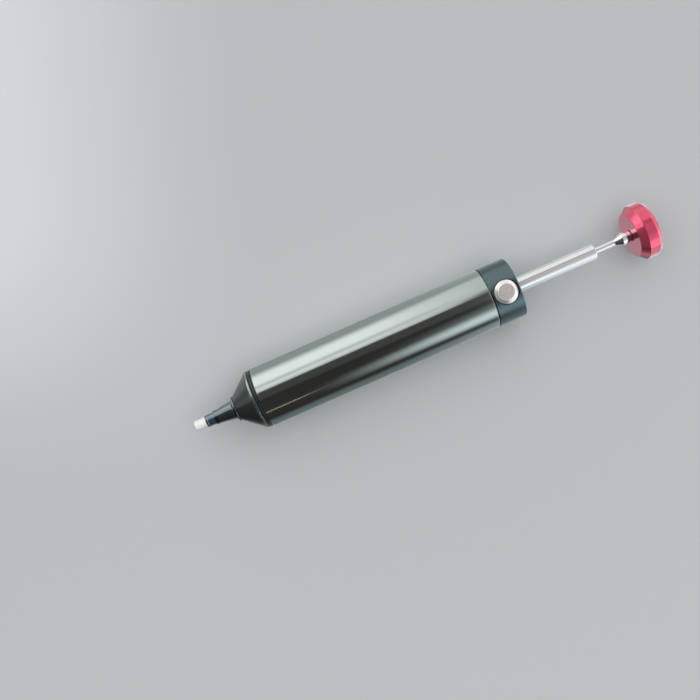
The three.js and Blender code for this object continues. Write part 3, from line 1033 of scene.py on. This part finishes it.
@dataclass(frozen=True)
class PlungerGroup:
    """The thrust washer, the piston with its seal, washer and nut, the rod and the knob."""

    washer_bore: float = 4.34
    stud_bore: float = 2.1
    stud: float = 2.0
    piston_chamfer: float = 0.6
    groove_width: float = 2.2
    groove_radius: float = 8.45
    nut_length: float = 3.2
    nut_edge: float = 0.2
    neck_radius: float = 1.2
    cone_length: float = 2.9
    collar_radius: float = 2.4
    collar_length: float = 3.8
    neck_length: float = 8.6
    knob_stud: float = 6.0
    knob_face: float = 8.9
    knob_flare: float = 2.5
    knob_rim: float = 4.2
    knob_back_inset: float = 1.35

    def build(self) -> None:
        """Builds the seven pieces."""
        self.thrust_washer()
        self.piston()
        self.seal()
        self.back_washer()
        self.nut()
        self.rod()
        self.knob()

    def thrust_washer(self) -> None:
        """The washer between the spring and the turning piston."""
        piece = Piece("thrust_washer_ring", "thrust_washer", ZINC, "zinc_plated_steel", Body.FOLLOWER)
        piece.turn_ring(self.washer_bore, soft=0.12)

    def piston(self) -> None:
        """The white piston, with a groove for its seal."""
        piece = Piece("piston_body", "piston", ACETAL, "white_acetal", Body.PLUNGER)
        e = Extent.of(piece.node)
        middle, half = (e.front + e.rear) / 2, self.groove_width / 2
        c = self.piston_chamfer
        piece.turn(
            Corner(e.rear, self.stud_bore, 0.15), Corner(e.rear, e.radius - c, 0.1),
            Corner(e.rear - c, e.radius, 0.1), Corner(middle + half, e.radius, 0.12),
            Corner(middle + half, self.groove_radius, 0.12),
            Corner(middle - half, self.groove_radius, 0.12), Corner(middle - half, e.radius, 0.12),
            Corner(e.front + c, e.radius, 0.1), Corner(e.front, e.radius - c, 0.1),
            Corner(e.front, self.stud_bore, 0.15),
        )

    def seal(self) -> None:
        """The piston's O-ring."""
        piece = Piece("piston_o_ring", "piston_seal", RUBBER, "black_rubber", Body.PLUNGER)
        piece.turn(*round_section(Extent.of(piece.node)))

    def back_washer(self) -> None:
        """The washer behind the piston."""
        piece = Piece("backing_washer", "piston_washer", ZINC, "zinc_plated_steel", Body.PLUNGER)
        piece.turn_ring(self.stud_bore, soft=0.12)

    def nut(self) -> None:
        """The hexagon nut that holds the piston on the rod."""
        piece = Piece("hexagon_nut", "piston_nut", ZINC, "zinc_plated_steel", Body.PLUNGER)
        low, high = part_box(piece.node)
        lathe = Lathe(pump_axis())
        middle = (low.x + high.x) / 2 / MM
        corners = max(high.y - low.y, high.z - low.z) / 2
        place = Matrix.Translation(lathe.point(middle, 0))
        facing = self._nut_facing(high.z - low.z > high.y - low.y)
        size = {"segments": 6, "radius1": corners, "radius2": corners, "depth": high.x - low.x}
        edge = {"offset": self.nut_edge * MM, "segments": 2, "profile": 0.5, "material": -1}
        bm = bmesh.new()
        bmesh.ops.create_cone(bm, cap_ends=True, matrix=place @ facing, **size)
        bmesh.ops.bevel(bm, geom=bm.edges[:], affect="EDGES", **edge)
        shape = to_object(piece.name, bm)
        rear, front = middle + self.nut_length, middle - self.nut_length
        bore = self.stud_bore
        outline = (Corner(rear, 0), Corner(rear, bore), Corner(front, bore), Corner(front, 0))
        carve(shape, Turning(outline, lathe, steps=64).solid())
        piece.place(shape, lathe)

    @staticmethod
    def _nut_facing(point_up: bool) -> Matrix:
        """Lays the nut along X, with a corner up or a flat up."""
        turn = Matrix.Rotation(math.pi / 2, 4, "Y")
        return turn if not point_up else turn @ Matrix.Rotation(math.pi / 6, 4, "Z")

    def rod(self) -> None:
        """The rod: stud, thick rod, latch neck, cone, collar and the knob's stud."""
        piece = Piece("polished_rod", "plunger_rod", POLISHED, "polished_steel", Body.PLUNGER)
        e = Extent.of(piece.node)
        collar_rear = e.rear - self.knob_stud - FIT
        collar_front = collar_rear - self.collar_length
        neck_rear = collar_front - self.cone_length
        shoulder = neck_rear - self.neck_length
        washer_rear = Extent.of("piston_washer").rear + FIT
        piece.turn(
            Corner(e.rear, 0), Corner(e.rear, self.stud, 0.2), Corner(collar_rear, self.stud),
            Corner(collar_rear, self.collar_radius, 0.3), Corner(collar_front, self.collar_radius, 0.2),
            Corner(neck_rear, self.neck_radius, 0.3), Corner(shoulder, self.neck_radius),
            Corner(shoulder, e.radius, 0.2), Corner(washer_rear, e.radius, 0.2),
            Corner(washer_rear, self.stud), Corner(e.front, self.stud, 0.2), Corner(e.front, 0),
            steps=96,
        )

    def knob(self) -> None:
        """The knob: a flat front face, a flare, a straight rim and a chamfered back."""
        piece = Piece("push_knob", "knob", RED, "red_anodised_aluminium", Body.PLUNGER)
        e = Extent.of(piece.node)
        rim_front = e.front + self.knob_flare
        rim_rear = rim_front + self.knob_rim
        socket = self.stud + FIT
        socket_rear = e.front + self.knob_stud + RUN
        piece.turn(
            Corner(e.rear, 0), Corner(e.rear, e.radius - self.knob_back_inset, 0.3),
            Corner(rim_rear, e.radius, 0.3), Corner(rim_front, e.radius, 0.15),
            Corner(e.front, self.knob_face, 0.18), Corner(e.front, socket, 0.1),
            Corner(socket_rear, socket), Corner(socket_rear, 0), steps=192,
        )


# ---- The studio


@dataclass(frozen=True)
class Softbox:
    """A soft light far away, as the metal sees it.

    Its roll is the angle about the pump's axis, from overhead towards +Y, in degrees. Its reach is
    how far the direction leans along X, from -1 to 1. Each window rises between its first two
    numbers and falls between its last two.
    """

    roll: tuple[float, float, float, float]
    reach: tuple[float, float, float, float]
    strength: float
    colour: str = "#FFFFFF"


SOFTBOXES = (
    # The long bank beside the pump: its body, the same beyond the cap, its bright middle, its lip.
    Softbox((21.5, 25, 82, 113), (-1.6, -1.2, 0.08, 0.19), 1.0),
    Softbox((26, 44, 82, 113), (0.08, 0.19, 1.1, 1.5), 1.0),
    Softbox((42, 58, 76, 104), (-1.6, -1.2, -0.03, 0.2), 0.8),
    Softbox((25, 33, 35, 44), (-1.6, -1.2, -0.1, 0.25), 0.45),
    # What the pale floor gives back on the far side and on the near side.
    Softbox((80, 104, 112, 230), (-1.0, -0.75, 1.1, 1.5), 0.6, "#F2FDFB"),
    Softbox((-270, -150, -118, -94), (-0.75, -0.45, 1.1, 1.5), 0.24, "#E2F8FF"),
    Softbox((100, 122, 140, 165), (-1.0, -0.85, -0.6, -0.4), 0.6, "#F2FDFB"),
    # The floor is brighter towards the knob, and below the knob.
    Softbox((100, 175, 200, 280), (0.0, 0.35, 1.1, 1.5), 0.62, "#F4FBFF"),
    Softbox((-270, -150, -112, -88), (0.0, 0.35, 1.1, 1.5), 0.7, "#F0FAFF"),
    Softbox((100, 120, 200, 280), (-0.5, -0.38, -0.3, -0.12), 0.3),
    Softbox((-280, -200, -120, -100), (-0.5, -0.38, -0.3, -0.12), 0.35),
    # The bank on the near side, its upper edge, and its far end below the knob.
    Softbox((-90, -65, -60, -34), (-0.08, 0.15, 0.16, 0.3), 0.45, "#F0FBFF"),
    Softbox((-90, -65, -60, -34), (-0.08, 0.15, 1.1, 1.5), 0.7, "#F0FBFF"),
    Softbox((-100, -60, -40, -12), (0.0, 0.2, 1.1, 1.5), 0.35, "#F0FBFF"),
    Softbox((-112, -98, -82, -70), (0.15, 0.25, 1.1, 1.5), 0.85),
    Softbox((-94, -78, -62, -46), (0.27, 0.34, 1.1, 1.5), 0.9),
    Softbox((-150, -120, -80, -60), (0.6, 0.8, 1.1, 1.5), 0.9),
    # The dim ceiling, and the light over the knob.
    Softbox((-8, -1, 40, 60), (-1.6, -1.2, 1.1, 1.5), 0.055),
    Softbox((-70, -30, 15, 40), (0.165, 0.2, 1.1, 1.5), 0.52, "#FFFBF9"),
    Softbox((-70, -40, 40, 70), (0.4, 0.62, 1.1, 1.5), 0.8, "#FFFBF9"),
    # The wall beyond the tip.
    Softbox((-100, -90, 90, 100), (-1.9, -1.8, -0.6, -0.35), 0.16),
    # A thin warm gap of daylight, low on the near side.
    Softbox((-61, -59.7, -58.3, -57), (-0.16, -0.14, -0.1, -0.06), 1.1, "#FFE6C4"),
)


@dataclass(frozen=True)
class Studio:
    """The pale floor, the soft light and the camera."""

    dark: str = "#444240"  # the dim room around the lights
    backdrop: str = "#C3C7C9"
    floor_size: float = 6000.0
    floor_colour: str = "#BABEC0"
    # A pool of painted light on the floor: how much brighter it is, where it lies, and how it fades across
    # and up.
    painted_glow_gain: float = 1.36
    painted_glow_centre: tuple[float, float, float] = (-29.5, 3.1, 0.0)
    painted_glow_across: tuple[float, float] = (-30.0, -170.0)
    painted_glow_up: tuple[float, float] = (-60.0, 60.0)
    even_strength: float = 1.3
    side_strength: float = 2.3
    side_tilt: float = 25.0
    fill_angle: float = 120.0
    lens: float = 43.0
    sensor: float = 36.0
    camera_offset: tuple[float, float, float] = (-24.548, 19.273, 329.009)
    camera_turn: tuple[float, float, float] = (-2.919, -0.347, -23.721)

    def build(self) -> None:
        """Builds the floor, the lights and the camera."""
        bpy.context.scene.view_settings.view_transform = "Standard"
        self.floor()
        self.world()
        self.fill()
        self.camera()

    def camera(self) -> None:
        """A camera almost straight above the pump, rolled so that the pump climbs to the right."""
        data = bpy.data.cameras.new("camera")
        data.lens = self.lens
        data.sensor_width = self.sensor
        camera = to_scene("camera", data)
        camera.location = (pump_axis() + Vector(self.camera_offset)) * MM
        camera.rotation_euler = [math.radians(a) for a in self.camera_turn]
        bpy.context.scene.camera = camera

    def fill(self) -> None:
        """Two wide lights that reach the floor and matt pieces, and no mirror.

        The one overhead leaves no shadow, and the one from the far side leaves a soft one.
        """
        suns = (("overhead_fill", self.even_strength, 0.0), ("side_fill", self.side_strength, self.side_tilt))
        for name, strength, tilt in suns:
            data = bpy.data.lights.new(name, "SUN")
            data.energy = strength
            data.angle = math.radians(self.fill_angle)
            data.use_shadow = tilt > 0
            light = to_scene(name, data)
            light.rotation_euler = (-math.radians(tilt), 0, 0)
            light.visible_glossy = False

    def floor(self) -> None:
        """A plain floor that the mirrors don't see, a little lighter in its far left corner, where a pool of
        light is painted into its colour.
        """
        bm = bmesh.new()
        bmesh.ops.create_grid(bm, x_segments=1, y_segments=1, size=self.floor_size / 2 * MM)
        floor = to_object("floor", bm)
        floor.visible_glossy = False
        material = bpy.data.materials.new("matt_paper")
        material.use_nodes = True
        tree = material.node_tree
        tree.nodes.clear()
        centred = Lathe(Vector(self.painted_glow_centre)).centred(tree)
        turn = (0.0, 0.0, -math.radians(self.camera_turn[2]))
        turned = add_node(tree, "ShaderNodeMapping", {"Vector": centred, "Rotation": turn})
        place = add_node(tree, "ShaderNodeSeparateXYZ", {"Vector": turned.outputs["Vector"]}).outputs
        rises = ((place["X"], self.painted_glow_across), (place["Y"], self.painted_glow_up))
        # Painted light: the floor's colour is raised towards its far left corner, lined up with the camera's
        # roll.
        painted_glow = self._overlap(tree, 1.0, *((way, low * MM, high * MM) for way, (low, high) in rises))
        plain = linear(self.floor_colour)
        painted_light_tone = tuple(c * self.painted_glow_gain for c in plain[:3]) + (1.0,)
        tones = {0: painted_glow, 6: plain, 7: painted_light_tone}
        colour = add_node(tree, "ShaderNodeMix", tones, data_type="RGBA").outputs[2]
        shader = add_node(tree, "ShaderNodeBsdfDiffuse", {"Color": colour, "Roughness": 0.4})
        add_node(tree, "ShaderNodeOutputMaterial", {"Surface": shader.outputs["BSDF"]})
        floor.data.materials.append(material)

    def world(self) -> None:
        """The softboxes as the metal reflects them, and a plain backdrop for the camera."""
        world = bpy.data.worlds.new("studio")
        bpy.context.scene.world = world
        world.use_nodes = True
        world.cycles_visibility.diffuse = False
        tree = world.node_tree
        tree.nodes.clear()
        way = add_node(tree, "ShaderNodeTexCoord").outputs["Generated"]
        parts = add_node(tree, "ShaderNodeSeparateXYZ", {"Vector": way}).outputs
        roll = add_node(tree, "ShaderNodeMath", {0: parts["Y"], 1: parts["Z"]}, operation="ARCTAN2")
        degrees = add_node(tree, "ShaderNodeMath", {0: roll.outputs[0]}, operation="DEGREES")
        ways = (degrees.outputs[0], parts["X"])
        total = add_node(tree, "ShaderNodeRGB").outputs["Color"]
        total.default_value = linear(self.dark)
        for box in SOFTBOXES:
            total = self._shine(tree, box, ways, total)
        seen = add_node(tree, "ShaderNodeLightPath").outputs["Is Camera Ray"]
        tones = {0: seen, 6: total, 7: linear(self.backdrop)}
        colour = add_node(tree, "ShaderNodeMix", tones, data_type="RGBA").outputs[2]
        light = add_node(tree, "ShaderNodeBackground", {"Color": colour, "Strength": 1.0})
        add_node(tree, "ShaderNodeOutputWorld", {"Surface": light.outputs["Background"]})

    @staticmethod
    def _overlap(
        tree: NodeTree, full: float, *rises: tuple[NodeSocket, float, float]
    ) -> float | NodeSocket:
        """Where smooth rises overlap.

        Args:
            tree: The tree that the nodes go into.
            full: The value where every rise is complete.
            rises: A value each, with where it starts to count and where it counts in full, which
                may be the lower number.

        Returns:
            The output that holds the product.
        """
        for value, start, end in rises:
            inputs = {"Value": value, "From Min": start, "From Max": end}
            rise = add_node(tree, "ShaderNodeMapRange", inputs, interpolation_type="SMOOTHSTEP")
            both = {0: full, 1: rise.outputs["Result"]}
            full = add_node(tree, "ShaderNodeMath", both, operation="MULTIPLY").outputs[0]
        return full

    def _shine(
        self, tree: NodeTree, box: Softbox, ways: tuple[NodeSocket, ...], total: NodeSocket
    ) -> NodeSocket:
        """Adds one softbox to what the metal sees.

        Args:
            tree: The world's tree.
            box: The softbox.
            ways: The roll and the reach of the direction looked in.
            total: What the metal sees without it.

        Returns:
            What the metal sees with it.
        """
        windows = zip(ways, (box.roll, box.reach))
        sides = [((way, w[0], w[1]), (way, w[3], w[2])) for way, w in windows]
        amount = self._overlap(tree, box.strength, *sides[0], *sides[1])
        inputs = {0: linear(box.colour)[:3], "Scale": amount}
        light = add_node(tree, "ShaderNodeVectorMath", inputs, operation="SCALE").outputs["Vector"]
        both = {0: total, 1: light}
        return add_node(tree, "ShaderNodeVectorMath", both, operation="ADD").outputs["Vector"]


def main() -> None:
    """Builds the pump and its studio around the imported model."""
    logging.basicConfig(level=logging.INFO, format="%(name)s: %(message)s")
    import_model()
    for group in (SuctionEnd(), BarrelGroup(), ReleaseGroup(), PlungerGroup(), Studio()):
        group.build()
        LOG.info("%s is done", type(group).__name__)


if __name__ == "__main__":
    main()
